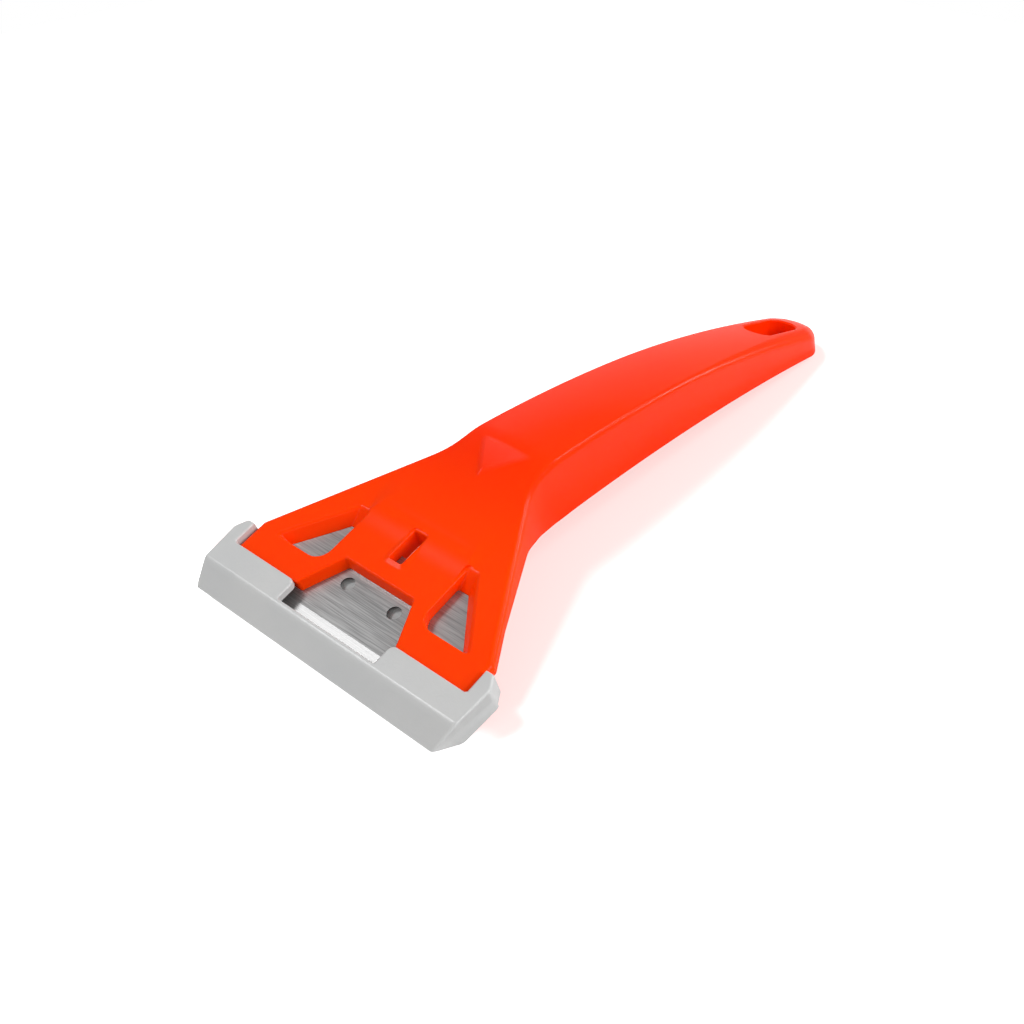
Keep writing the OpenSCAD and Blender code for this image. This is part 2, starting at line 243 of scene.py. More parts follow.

# Orange plastic: colour pairs that it drifts between, for the head, the handle and the arrow's top. The
# head is painted lighter and yellower than the handle, as painted light, and the arrow's top carries a
# painted sheen
ORANGE_HEAD_PAINTED_LIGHTER = ((0.99, 0.045, 0.0003), (1.0, 0.050, 0.0005))
ORANGE_HANDLE_PAINTED_DEEPER = ((0.97, 0.027, 0.0003), (1.0, 0.032, 0.0005))
# Painted sheen on the arrow's top: a lighter, pinker orange than the plastic around it
ORANGE_PAINTED_SHEEN = ((1.0, 0.050, 0.022), (1.0, 0.054, 0.027))
ORANGE_DRIFT = (20, 2)
ORANGE_ROUGH = (0.2, 0.25)
ORANGE_ROUGH_NOISE = (60, 2)
ORANGE_GRAIN = (900, 3)
ORANGE_BUMP = (0.03, 0.0002)
ORANGE_BODY = {
    "Specular IOR Level": 0.07,
    "Subsurface Weight": 0.25,
    "Subsurface Radius": (1.0, 0.25, 0.1),
    "Subsurface Scale": 0.003,
}

# Satin grey plastic of the guard
SATIN_COLOURS = ((0.51, 0.515, 0.515), (0.54, 0.54, 0.535))
SATIN_DRIFT = (60, 3)
SATIN_ROUGH = (0.285, 0.34)
SATIN_ROUGH_NOISE = (220, 2)
SATIN_GRAIN = (1500, 2)
SATIN_BUMP = (0.12, 0.0002)
SATIN_BODY = {
    "Specular IOR Level": 0.6,
    "Subsurface Weight": 0.2,
    "Subsurface Radius": (1.0, 1.0, 1.0),
    "Subsurface Scale": 0.001,
}

# Steel: its dark and light grey, its lowest and highest roughness, and its streaks' scale
BRUSHED_STEEL = (0.245, 0.405, 0.32, 0.4, 4000)
GROUND_BEVEL = (0.28, 0.41, 0.36, 0.42, 4200)
# Near-black steel for the holes' walls: painted shade, for the dark crescents where shade falls inside
# the holes
HOLE_WALL_PAINTED_SHADE = (0.02, 0.05, 0.5, 0.6, 3000)
STREAK_DETAIL = 2
STREAK_STRETCH = (0.025, 1.0, 1.0)
STREAK_BUMP = (0.03, 0.00002)

# Share of the steel that mirrors; the rest is the matt haze of its brushed scratches
METAL_SHARE = 0.75

# Floor: its matt grey, and its lift to white where the camera sees it, which tints the shadow. The lift
# is pink, a painted orange bounce in the shadow, and plain white just in front of the toe, where it
# paints the shadow out
FLOOR_BODY = {
    "Base Color": (0.36, 0.36, 0.36, 1.0),
    "Roughness": 0.9,
    "Specular IOR Level": 0.1,
}
FLOOR_GLOW_PAINTED_BOUNCE = (0.76, 0.535, 0.515)
FLOOR_GLOW_PAINTS_OUT_SHADOW = (1.0, 1.0, 1.0)

# Floor, in metres: its half width, its fall in front of the toe, and how fast the tint starts there
FLOOR_SIZE = 0.45
FLOOR_FALL_L = 0.06
FLOOR_FALL_MARGIN = math.radians(4)
FLOOR_SHADE_L = 0.007

# Light: the dim room, and each lamp's place and size in metres and its power in watts
ROOM_LIGHT = 0.3
LAMPS = {
    "key": ((-0.583, -0.44, 0.825), 0.28, 4.0),
    "back": ((-0.66, 0.96, 0.36), 0.7, 0.7),
    "right": ((0.9, 0.15, 0.55), 0.55, 6.8),
    "front": ((0.1, -1.0, 0.5), 0.8, 2.5),
    "rim": ((0.25, 0.75, 0.8), 0.25, 2.6),
    "glint": ((0.42, 0.95, 0.42), 0.3, 3.4),
}
FLOOR_LAMP = ((-0.508, -0.383, 0.898), 0.28, 22.0)
LAMP_AIM = (0.0, 0.0, 0.01)

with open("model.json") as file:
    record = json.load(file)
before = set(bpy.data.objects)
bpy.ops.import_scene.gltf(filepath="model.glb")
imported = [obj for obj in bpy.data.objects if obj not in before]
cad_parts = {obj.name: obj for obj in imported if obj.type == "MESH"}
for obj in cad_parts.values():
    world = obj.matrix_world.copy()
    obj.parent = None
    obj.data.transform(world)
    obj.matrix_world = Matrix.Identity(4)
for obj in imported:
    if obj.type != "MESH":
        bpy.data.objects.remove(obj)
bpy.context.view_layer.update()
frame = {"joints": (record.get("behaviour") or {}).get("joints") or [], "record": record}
record = frame["record"]


# The head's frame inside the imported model's frame

def mount(name):
    return next(m for m in record["mounts"] if m["name"] == name)


BACK = -Vector(frame["joints"][0]["axis"]).normalized()
RIGHT = Vector((1.0, 0.0, 0.0))
UP = RIGHT.cross(BACK)
EDGE = Vector(mount("cutting_edge")["pos_m"])
ORIGIN = EDGE - BACK * CUT_EDGE_Y * MM - UP * BLADE_LOW * MM
TILT = math.atan2(BACK.z, BACK.y)


def place(x, y, z):
    return ORIGIN + RIGHT * x * MM + BACK * y * MM + UP * z * MM


def turn():
    """Rotation from the head's frame to the model's frame."""
    return Matrix((RIGHT, BACK, UP)).transposed()


# Shape functions of the handle moulding

def ramp(t):
    u = min(max(t, 0.0), 1.0)
    return u * u * (3 - 2 * u)


def soft_max(a, b, k):
    return max(a, b) + k * (max(k - abs(a - b), 0) / k) ** 2 / 4


def soft_min(a, b, k):
    return -soft_max(-a, -b, k)


def along(y):
    return (y - BEND_Y) / (TAIL_Y - BEND_Y)


def bow(y):
    reach = y - BEND_Y + BOW_R * math.sin(PITCH)
    return math.sqrt(BOW_R**2 - reach**2) - BOW_R * math.cos(PITCH)


def half_w(y):
    flank = min(HEAD_W / 2, HEAD_W / 2 - FLANK_RATE * (y - SHOULDER_Y))
    shaft = (NECK_W + (TAIL_W - NECK_W) * along(y)) / 2
    return soft_max(flank, shaft, NECK_BLEND)


def top_z(y):
    return 0.0 if y < CROWN_Y else soft_min(0, bow(y), BEND_BLEND)


def crown_z(y):
    full = CROWN + (TAIL_CROWN - CROWN) * max(along(y), 0)
    return full * ramp((y - CROWN_Y) / (BEND_Y - CROWN_Y))


def round_r(y):
    return EDGE_R + (TAIL_EDGE_R - EDGE_R) * ramp((along(y) - TAIL_EDGE_START) / (1 - TAIL_EDGE_START))


def side_z(y):
    shaft_h = NECK_H + (TAIL_H - NECK_H) * max(along(y), 0) ** TAPER_POWER
    head_side = -max(SIDE_H + SIDE_RATE * y, 2 * EDGE_R)
    belly = -HEAD_T - math.tan(BELLY) * (y - BELLY_Y)
    return soft_min(head_side, soft_max(belly, top_z(y) - shaft_h, BELLY_BLEND), SIDE_BLEND)


def low_z(y):
    return min(-HEAD_T, side_z(y))


def tail_u(y):
    return max(y - TAIL_Y + TAIL_ROUND, 0) / TAIL_ROUND


def plan_share(y):
    return math.sqrt(max(1 - tail_u(y) ** 2, 0))


def side_share(y):
    return max(1 - tail_u(y) ** TAIL_SQUARE, 0) ** (1 / TAIL_SQUARE)


def arrow_depth(x, y):
    """How far a point lies inside the arrow's outline, in millimetres."""
    run = ARROW_BASE - ARROW_TIP
    aside = soft_max(abs(x), 0, ARROW_TIP_R)
    flank = (ARROW_HALF * (y - ARROW_TIP) - run * aside) / math.hypot(run, ARROW_HALF)
    return soft_min(flank, ARROW_BASE - y, ARROW_BASE_R)


def relief(x, y):
    """Height of the raised forms on the top: ramp and ledge, slot rim, soft valley and arrow."""
    out = 0.0
    if y < BEND_Y:
        rise = ramp((y - RAMP_FRONT) / (RAMP_BACK - RAMP_FRONT))
        fade = 1 - ramp((y - RAMP_BACK - RAMP_FLAT) / RAMP_FADE)
        soft = RAMP_FLANK + max(y - WIN_BACK, 0) * RAMP_SPREAD
        out += RAMP_H * rise * fade * ramp((RAMP_HALF - abs(x)) / soft + 0.5)
        gap_x = max(abs(x) - SLOT_W / 2, 0)
        gap_y = max(SLOT_FRONT - y, y - SLOT_FRONT - SLOT_L, 0)
        rim = 1 - ramp(math.hypot(gap_x, gap_y) / SLOT_RIM_W)
        out = max(out, (SLOT_RIM_H + out * SLOT_RIM_SHARE) * rim)
        valley = math.exp(-(((y - VALLEY_Y) / VALLEY_SPREAD) ** 2))
        valley *= 1 - ramp((abs(x) - VALLEY_HALF) / VALLEY_FADE)
        out -= VALLEY_DEPTH * valley
    level_top = ARROW_H + crown_z(ARROW_BASE) - crown_z(y)
    out += level_top * ramp(arrow_depth(x, y) / ARROW_WALL)
    return out


# Mesh building

def steps(low, high, count):
    return [low + (high - low) * i / count for i in range(count + 1)]


def loft(name, rings):
    """Closed solid through rings of equal point count, each going the same way round."""
    mesh = bmesh.new()
    rows = [[mesh.verts.new(p) for p in ring] for ring in rings]
    count = len(rings[0])
    for near, far in zip(rows, rows[1:]):
        for j in range(count):
            k = (j + 1) % count
            mesh.faces.new((near[j], near[k], far[k], far[j]))
    mesh.faces.new(rows[0][::-1])
    mesh.faces.new(rows[-1])
    bmesh.ops.recalc_face_normals(mesh, faces=mesh.faces)
    if mesh.calc_volume(signed=True) < 0:
        bmesh.ops.reverse_faces(mesh, faces=mesh.faces)
    data = bpy.data.meshes.new(name)
    mesh.to_mesh(data)
    mesh.free()
    piece = bpy.data.objects.new(name, data)
    bpy.context.scene.collection.objects.link(piece)
    return piece


def apply_modifiers(piece):
    """Replaces a piece's mesh with what its modifiers make of it."""
    bpy.context.view_layer.update()
    depsgraph = bpy.context.evaluated_depsgraph_get()
    shaped = bpy.data.meshes.new_from_object(piece.evaluated_get(depsgraph))
    old = piece.data
    piece.modifiers.clear()
    piece.data = shaped
    bpy.data.meshes.remove(old)


def combine(piece, others, operation):
    """Joins others to piece or cuts them from it, one after the other."""
    for other in others:
        step = piece.modifiers.new(operation, "BOOLEAN")
        step.operation = operation
        step.object = other
        step.solver = "EXACT"
        apply_modifiers(piece)
        bpy.data.objects.remove(other)


def finish_surface(piece, sharp_angle=SHARP_ANGLE):
    """Flat faces stay flat and fillets shade smoothly."""
    piece.data.shade_smooth()
    piece.data.set_sharp_from_angle(angle=math.radians(sharp_angle))
    weights = piece.modifiers.new("weights", "WEIGHTED_NORMAL")
    weights.keep_sharp = True
    weights.weight = FLAT_WEIGHT
    apply_modifiers(piece)


def settle(piece, body):
    """Moves a piece from the head's frame in millimetres to the model's frame, onto its body."""
    move = turn().to_4x4() * MM
    move.translation = ORIGIN
    move[3][3] = 1.0
    piece.data.transform(move)
    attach(piece, body)
    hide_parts(body)


# Outlines and cutters

def arc(centre, radius, start, end, count):
    """Points of an arc from start to end, in degrees."""
    points = []
    for degrees in steps(start, end, count):
        a = math.radians(degrees)
        points.append((centre[0] + radius * math.cos(a), centre[1] + radius * math.sin(a)))
    return points


def corner_arc(last, corner, following, radius, count):
    """Points that round one corner between its two neighbours."""
    here = Vector(corner)
    to_last = (Vector(last) - here).normalized()
    to_next = (Vector(following) - here).normalized()
    half = to_last.angle(to_next) / 2
    reach = radius / math.tan(half)
    centre = here + (to_last + to_next).normalized() * radius / math.sin(half)
    first = here + to_last * reach - centre
    end = here + to_next * reach - centre
    sweep = math.atan2(first.x * end.y - first.y * end.x, first.dot(end))
    points = []
    for t in steps(0, sweep, count):
        across = first.x * math.cos(t) - first.y * math.sin(t)
        ahead = first.x * math.sin(t) + first.y * math.cos(t)
        points.append((centre.x + across, centre.y + ahead))
    return points


def rounded(corners, radii):
    """Outline through corners, each rounded by its own radius."""
    points = []
    for i, radius in enumerate(radii):
        following = corners[(i + 1) % len(corners)]
        points += corner_arc(corners[i - 1], corners[i], following, radius, CORNER_STEPS)
    return points


def grow(outline, distance):
    """Outline moved outward by distance; the outline runs anticlockwise."""
    grown = []
    total = len(outline)
    for i, point in enumerate(outline):
        here = Vector(point)
        arrive = (here - Vector(outline[i - 1])).normalized()
        leave = (Vector(outline[(i + 1) % total]) - here).normalized()
        out_a = Vector((arrive.y, -arrive.x))
        out_b = Vector((leave.y, -leave.x))
        middle = (out_a + out_b).normalized()
        grown.append(tuple(here + middle * distance / max(middle.dot(out_a), MITRE_LIMIT)))
    return grown


def level(outline, z):
    return [(x, y, z) for x, y in outline]


def lip_levels(radius, top):
    """Heights and growths of a rounded mouth whose fillet ends level with top."""
    pairs = []
    for a in steps(0, MOUTH_END, MOUTH_STEPS):
        turned = math.radians(a)
        pairs.append((top - radius + radius * math.sin(turned), radius * (1 - math.cos(turned))))
    return pairs


def mouth_cutter(name, low, outline_at, top, radius):
    """Cutter with sloping walls: outline_at(z) is its outline, and its mouth at top is rounded."""
    rings = [level(outline_at(low), low)]
    for z, growth in lip_levels(radius, top):
        rings.append(level(grow(outline_at(z), growth), z))
    last_z, last_growth = lip_levels(radius, top)[-1]
    mouth = grow(outline_at(last_z), last_growth + radius * MOUTH_FLARE)
    rings.append(level(mouth, top + radius * MOUTH_LIFT))
    rings.append(level(mouth, top + OVER))
    return loft(name, rings)


def block(name, low, high):
    outline = [(low[0], low[1]), (high[0], low[1]), (high[0], high[1]), (low[0], high[1])]
    return loft(name, [level(outline, low[2]), level(outline, high[2])])


def mirrored_outline(outline):
    return [(-x, y) for x, y in reversed(outline)]


# Handle moulding

def outer_ring(y):
    """Outline of the handle moulding's outside across one station."""
    w = half_w(y) * plan_share(y)
    mid = (top_z(y) + low_z(y)) / 2
    top = mid + (top_z(y) - mid) * side_share(y)
    low = mid + (low_z(y) - mid) * side_share(y)
    r = min(round_r(y), w / 2)
    step = (side_z(y) - low_z(y)) * side_share(y)
    rim = min(LOW_EDGE_R, w / 4)
    half = [(w - rim - step, low)]
    for a in steps(0, math.pi / 2, LOW_EDGE_STEPS):
        half.append((w - rim + rim * math.sin(a), low + step + rim - rim * math.cos(a)))
    wall_low = half[-1][1]
    half += [(w, wall_low + (top - r - wall_low) * t) for t in steps(0, 1, SIDE_STEPS)[1:-1]]
    for a in steps(0, math.pi / 2, ROUND_STEPS):
        half.append((w - r + r * math.cos(a), top - r + r * math.sin(a)))
    for t in steps(1, 0, TOP_STEPS)[1:]:
        x = (w - r) * t
        half.append((x, top + (crown_z(y) * (1 - t * t)) + relief(x, y) * plan_share(y)))
    whole = half + [(-x, z) for x, z in reversed(half[:-1])]
    return [(x, y, z) for x, z in whole]


def inner_ring(y):
    """Outline of the hollow under the handle across one station."""
    w = half_w(y) - WALL
    top = top_z(y) - (PLATE_T if y < CROWN_Y else WALL)
    half = [(w, low_z(y) - OVER), (w, top - EDGE_R)]
    for a in steps(*HOLLOW_ARC):
        half.append((w - EDGE_R + EDGE_R * math.cos(a), top - EDGE_R + EDGE_R * math.sin(a)))
    half.append((0, top + crown_z(y)))
    whole = half + [(-x, z) for x, z in reversed(half[:-1])]
    return [(x, y, z) for x, z in whole]


def handle_stations():
    """Stations along the handle: close together up to just behind the bend and in the round tail."""
    fine = BEND_Y + FINE_REACH
    head = steps(0, fine, round(fine / HEAD_STEP))
    tip = TAIL_Y - TAIL_ROUND
    handle = steps(head[-1], tip, round((tip - head[-1]) / HANDLE_STEP))[1:]
    end = [tip + TAIL_ROUND * math.sin(a) for a in steps(0, TAIL_LAST, TAIL_STEPS)[1:]]
    return head + handle + end


def window_corners(z):
    """Right window: its outer and back walls slope in towards the blade."""
    share = z / SLIT_MID
    out = WIN_DRAFT * share
    back = WIN_BACK_DRAFT * share
    corners = [
        (WIN_IN, WIN_FRONT), (WIN_OUT - out, WIN_FRONT),
        (WIN_IN + WIN_TIP, WIN_BACK - back), (WIN_IN, WIN_BACK - back),
    ]
    return rounded(corners, WIN_RADII)


def cut_corners(z):
    """Front cut-out with rounded tips at the front face."""
    inset = CUT_DRAFT * z / SLIT_MID
    front = CUT_FRONT - inset
    r = CUT_TIP_R
    right = [(front + r, -OVER)]
    for a in steps(0, math.pi / 2, CORNER_STEPS):
        right.append((front + r - r * math.sin(a), r - r * math.cos(a)))
    back = CUT_D - inset
    corner = (CUT_BACK - inset, back)
    right += corner_arc((front, r), corner, (-CUT_BACK, back), CUT_CORNER_R, MOUTH_STEPS)
    return right + mirrored_outline(right)


def slot_corners(z):
    """Push-out slot, the same at every height z."""
    half = SLOT_W / 2
    back = SLOT_FRONT + SLOT_L
    corners = [(-half, SLOT_FRONT), (half, SLOT_FRONT), (half, back), (-half, back)]
    return rounded(corners, SLOT_RADII)


def blade_outline(gap):
    """Blade's plan, wider all round by gap."""
    wide = BLADE_W / 2 + gap
    back = BLADE_BACK_W / 2 + gap - BLADE_RATE * gap
    back_y = BLADE_BACK_Y + gap
    return [(-wide, CUT_EDGE_Y), (wide, CUT_EDGE_Y), (back, back_y), (-back, back_y)]


def mirror_copy(name, cutter):
    data = cutter.data.copy()
    data.transform(Matrix.Scale(-1, 4, (1, 0, 0)))
    data.flip_normals()
    twin = bpy.data.objects.new(name, data)
    bpy.context.scene.collection.objects.link(twin)
    return twin


def hang_point(x, along_hole, depth):
    """Point straight above a place in the hole's plan, this deep below the top surface."""
    back = along_hole * math.cos(TILT)
    drop = along_hole * math.sin(TILT)
    flat = Vector((x, HANG_Y + back, top_z(HANG_Y) - drop))
    upright = Vector((0, math.sin(TILT), math.cos(TILT)))
    for _ in range(HANG_ROUNDS):
        flat += upright * (top_z(flat.y) - depth - flat.z) / upright.z
    return flat


def hang_cutter():
    """Upright hole through the tail, as the scraper stands, with a rounded mouth."""
    straight = (HANG_L - HANG_W) / 2
    outline = arc((0, straight), HANG_W / 2, 0, 180, HANG_STEPS)
    outline += arc((0, -straight), HANG_W / 2, 180, 360, HANG_STEPS)
    mouth = lip_levels(HANG_RIM_R, 0.0)
    last = mouth[-1][1] + HANG_RIM_R * MOUTH_FLARE
    levels = [(-NECK_H, 0.0)] + mouth + [(HANG_RIM_R * MOUTH_LIFT, last), (OVER, last)]
    rings = []
    for z, growth in levels:
        rings.append([hang_point(x, y, -z) for x, y in grow(outline, growth)])
    return loft("hang_cut", rings)


def rib(index):
    """Cross rib under the handle's top; index counts from the bend."""
    reach = HANG_Y - HANG_L / 2 - BEND_Y
    y = BEND_Y + reach * index / (RIB_COUNT + 1) - RIB_T / 2
    w = half_w(y) - WALL / 2
    top = top_z(y) - WALL / 2
    shaft_h = top_z(y) - low_z(y)
    return block(f"rib_{index}", (-w, y, top - shaft_h * RIB_SHARE), (w, y + RIB_T, top - WALL / 4))


def paint_arrow_sheen(handle):
    """Writes the mask of the painted sheen on the raised arrow's top: most at its base, none at its
    tip.
    """
    sheen_attribute = handle.data.attributes.new(ARROW_SHEEN_ATTRIBUTE, "FLOAT", "POINT")
    for i, vertex in enumerate(handle.data.vertices):
        x, y, z = vertex.co
        if ARROW_TIP < y < ARROW_BASE and z > top_z(y):
            share = (y - ARROW_TIP) / (ARROW_BASE - ARROW_TIP)
            sheen_attribute.data[i].value = ramp(arrow_depth(x, y) / ARROW_WALL) * share


def build_handle():
    handle = loft("handle_moulding", [outer_ring(y) for y in handle_stations()])
    hollow_y = SLOT_FRONT + SLOT_L + WALL
    hollow_end = HANG_Y - HANG_L / 2 - WALL
    hollow = loft("hollow", [inner_ring(y) for y in steps(hollow_y, hollow_end, HOLLOW_STEPS)])
    window = mouth_cutter("window_right", SLIT_MID, window_corners, 0.0, RIM_R)
    cut = cut_corners(SLIT_MID)
    slit = blade_outline(SLIT_GAP)
    cutters = [
        hollow,
        mirror_copy("window_left", window),
        window,
        mouth_cutter("front_cut", SLIT_MID, cut_corners, 0.0, CUT_RIM_R),
        loft("under_cut", [level(cut, SLIT_MID - HEAD_T), level(cut, SLIT_MID + CUT_OVERLAP)]),
        mouth_cutter("slot", -NECK_H, slot_corners, SLOT_MOUTH_Z, SLOT_MOUTH_R),
        loft("slit", [level(slit, SLIT_LOW), level(slit, SLIT_TOP)]),
        hang_cutter(),
    ]
    combine(handle, cutters, "DIFFERENCE")
    combine(handle, [rib(i + 1) for i in range(RIB_COUNT)], "UNION")
    paint_arrow_sheen(handle)
    finish_surface(handle)
    handle.data.materials.clear()
    handle.data.materials.append(orange_plastic())
    settle(handle, "handle")


# Blade

def blade_half(y):
    return BLADE_W / 2 - BLADE_RATE * (y - CUT_EDGE_Y)


def build_blade():
    edge = BLADE_EDGE_T
    profile = [
        (CUT_EDGE_Y, BLADE_LOW), (BLADE_BACK_Y - edge, BLADE_LOW), (BLADE_BACK_Y, BLADE_LOW + edge),
        (BLADE_BACK_Y, BLADE_TOP - edge), (BLADE_BACK_Y - edge, BLADE_TOP),
        (CUT_EDGE_Y + BEVEL_W, BLADE_TOP), (CUT_EDGE_Y, BLADE_LOW + 2 * edge),
    ]
    rings = [[(side * blade_half(y), y, z) for y, z in profile] for side in steps(-1, 1, BLADE_STEPS)]
    blade = loft("steel_blade", rings)
    hole_y = CUT_EDGE_Y + HOLE_SETBACK
    drills = []
    for side in (-1, 1):
        outline = arc((side * HOLE_PITCH / 2, hole_y), HOLE_D / 2, 0, 360, HOLE_STEPS)[:-1]
        rings = [level(outline, BLADE_LOW - OVER), level(outline, BLADE_TOP + OVER)]
        drills.append(loft(f"drill_{side}", rings))
    combine(blade, drills, "DIFFERENCE")
    finish_surface(blade, BLADE_SHARP_ANGLE)
    blade.data.materials.clear()
    blade.data.materials.append(steel("brushed_steel", *BRUSHED_STEEL))
    blade.data.materials.append(steel("ground_bevel", *GROUND_BEVEL))
    blade.data.materials.append(steel("hole_wall_painted_shade", *HOLE_WALL_PAINTED_SHADE))
    # The hole walls get the near-black painted shade; the bevel gets its ground finish
    for face in blade.data.polygons:
        from_hole = math.hypot(abs(face.center.x) - HOLE_PITCH / 2, face.center.y - hole_y)
        if abs(face.normal.z) < WALL_UP and from_hole < HOLE_D:
            face.material_index = 2
        elif face.normal.y < BEVEL_FRONT and face.normal.z > BEVEL_UP:
            face.material_index = 1
    settle(blade, "blade")


# Guard moulding

def guard_front_y(z):
    """Front surface of the guard at height z: two slopes that meet in a blunt nose."""
    middle = (LIP_H + GUARD_LOW) / 2
    half = (LIP_H - GUARD_LOW) / 2
    lean = abs(z - middle) / half
    return -GUARD_D - NOSE_D * (1 - soft_max(lean, 0.0, NOSE_BLEND))


def guard_outline(z):
    """Guard's plan at height z, ears and all."""
    front = guard_front_y(z)
    share = (front + GUARD_D) / -NOSE_D
    front_x = EAR_OUT - FLARE - NOSE_IN * share
    right = [
        (front_x, front), (EAR_OUT, EAR_L / 2), (EAR_OUT - END_T * EAR_CUT, EAR_L),
        (EAR_IN, EAR_L), (EAR_IN - EAR_ROOT, EAR_L - EAR_ROOT),
    ]
    whole = right + mirrored_outline(right)
    return rounded(whole, GUARD_RADII + GUARD_RADII[::-1])


def guard_rings():
    """Slices from the floor to the lips' top, with rounded lower and upper edges."""
    r = GUARD_EDGE_R
    rings = []
    for a in steps(0, 90, CORNER_STEPS):
        turned = math.radians(a)
        z = GUARD_LOW + r - r * math.cos(turned)
        rings.append(level(grow(guard_outline(z), -r * (1 - math.sin(turned))), z))
    for z in steps(GUARD_LOW + r, LIP_H - r, GUARD_STEPS)[1:-1]:
        rings.append(level(guard_outline(z), z))
    for a in steps(0, 90, CORNER_STEPS):
        turned = math.radians(a)
        z = LIP_H - r + r * math.sin(turned)
        rings.append(level(grow(guard_outline(z), -r * (1 - math.cos(turned))), z))
    return rings


def guard_mouth(z):
    """Room for the head, joined to the gap between the lips, with rounded lip corners."""
    r = LIP_CORNER_R
    front = -GUARD_D + FRONT_T
    back = EAR_L + OVER
    right = [(LIP_GAP - LIP_CUT, front), (LIP_GAP, front + LIP_CUT)]
    for a in steps(0, math.pi / 2, LIP_STEPS):
        right.append((LIP_GAP + r - r * math.cos(a), -GUARD_GAP - r + r * math.sin(a)))
    right += [(EAR_IN - EAR_IN_CUT, -GUARD_GAP), (EAR_IN, -GUARD_GAP + EAR_IN_CUT), (EAR_IN, back)]
    return right + mirrored_outline(right)


def build_guard():
    guard = loft("guard_moulding", guard_rings())
    reach = EAR_L + OVER
    far = EAR_OUT + OVER
    cutters = [
        block("under_lips", (-EAR_IN, -GUARD_D + FRONT_T, FLOOR_TOP), (EAR_IN, reach, LIP_H - LIP_T)),
        mouth_cutter("mouth", FLOOR_TOP, guard_mouth, LIP_H, GUARD_RIM_R),
        block("open_back", (-far, FLOOR_L, GUARD_LOW - OVER), (far, reach + OVER, FLOOR_TOP)),
    ]
    combine(guard, cutters, "DIFFERENCE")
    root = -GUARD_D + FRONT_T / 2
    tongue_top = BLADE_LOW - TONGUE_GAP
    corners = [
        (-TONGUE_W, root), (TONGUE_W, root), (TONGUE_W, 0), (TONGUE_TIP, TONGUE_L),
        (-TONGUE_TIP, TONGUE_L), (-TONGUE_W, 0),
    ]
    outline = rounded(corners, TONGUE_RADII)
    inner = grow(outline, -TONGUE_EDGE)
    low = FLOOR_TOP - FLOOR_T / 2
    tongue = loft("tongue", [
        level(inner, low), level(outline, low + TONGUE_EDGE),
        level(outline, tongue_top - TONGUE_EDGE), level(inner, tongue_top),
    ])
    combine(guard, [tongue], "UNION")
    finish_surface(guard)
    guard.data.materials.clear()
    guard.data.materials.append(satin_plastic())
    settle(guard, "blade_guard")


# Materials

def new_material(name, body):
    """Material whose shader has the constant inputs in body."""
    material = bpy.data.materials.new(name)
    material.use_nodes = True
    tree = material.node_tree
    shader = tree.nodes["Principled BSDF"]
    for socket, value in body.items():
        shader.inputs[socket].default_value = value
    return material, tree, shader


def noise(tree, scale, detail, stretch=(1, 1, 1)):
    """Noise in the model's own frame, in units of a metre, stretched along the axes."""
    where = tree.nodes.new("ShaderNodeTexCoord")
    fit = tree.nodes.new("ShaderNodeMapping")
    fit.inputs["Scale"].default_value = stretch
    cloud = tree.nodes.new("ShaderNodeTexNoise")
    cloud.inputs["Scale"].default_value = scale
    cloud.inputs["Detail"].default_value = detail
    tree.links.new(where.outputs["Object"], fit.inputs["Vector"])
    tree.links.new(fit.outputs["Vector"], cloud.inputs["Vector"])
    return cloud.outputs["Fac"]


def spread(tree, value, low, high):
    """Maps a noise value to a range, with soft ends."""
    scale = tree.nodes.new("ShaderNodeMapRange")
    scale.interpolation_type = "SMOOTHERSTEP"
    scale.inputs["From Min"].default_value = NOISE_RANGE[0]
    scale.inputs["From Max"].default_value = NOISE_RANGE[1]
    scale.inputs["To Min"].default_value = low
    scale.inputs["To Max"].default_value = high
    tree.links.new(value, scale.inputs["Value"])
    return scale.outputs["Result"]


def tint(tree, value, low, high):
    """Colour that drifts from low to high with a value."""
    blend = tree.nodes.new("ShaderNodeMix")
    blend.data_type = "RGBA"
    blend.inputs["A"].default_value = (*low, 1)
    blend.inputs["B"].default_value = (*high, 1)
    tree.links.new(value, blend.inputs["Factor"])
    return blend.outputs["Result"]


def add_bump(tree, shader, height, strength, distance):
    bump = tree.nodes.new("ShaderNodeBump")
    bump.inputs["Strength"].default_value = strength
    bump.inputs["Distance"].default_value = distance
    tree.links.new(height, bump.inputs["Height"])
    tree.links.new(bump.outputs["Normal"], shader.inputs["Normal"])


def rise_along_y(tree, start, end):
    """Rises from 0 to 1 between two places along the model's length."""
    where = tree.nodes.new("ShaderNodeTexCoord")
    parts = tree.nodes.new("ShaderNodeSeparateXYZ")
    rise = tree.nodes.new("ShaderNodeMapRange")
    rise.interpolation_type = "SMOOTHSTEP"
    rise.inputs["From Min"].default_value = start
    rise.inputs["From Max"].default_value = end
    tree.links.new(where.outputs["Object"], parts.inputs["Vector"])
    tree.links.new(parts.outputs["Y"], rise.inputs["Value"])
    return rise.outputs["Result"]


def mix_colours(tree, share, first, second):
    """Colour that goes from the first to the second as share rises."""
    blend = tree.nodes.new("ShaderNodeMix")
    blend.data_type = "RGBA"
    tree.links.new(share, blend.inputs["Factor"])
    tree.links.new(first, blend.inputs["A"])
    tree.links.new(second, blend.inputs["B"])
    return blend.outputs["Result"]


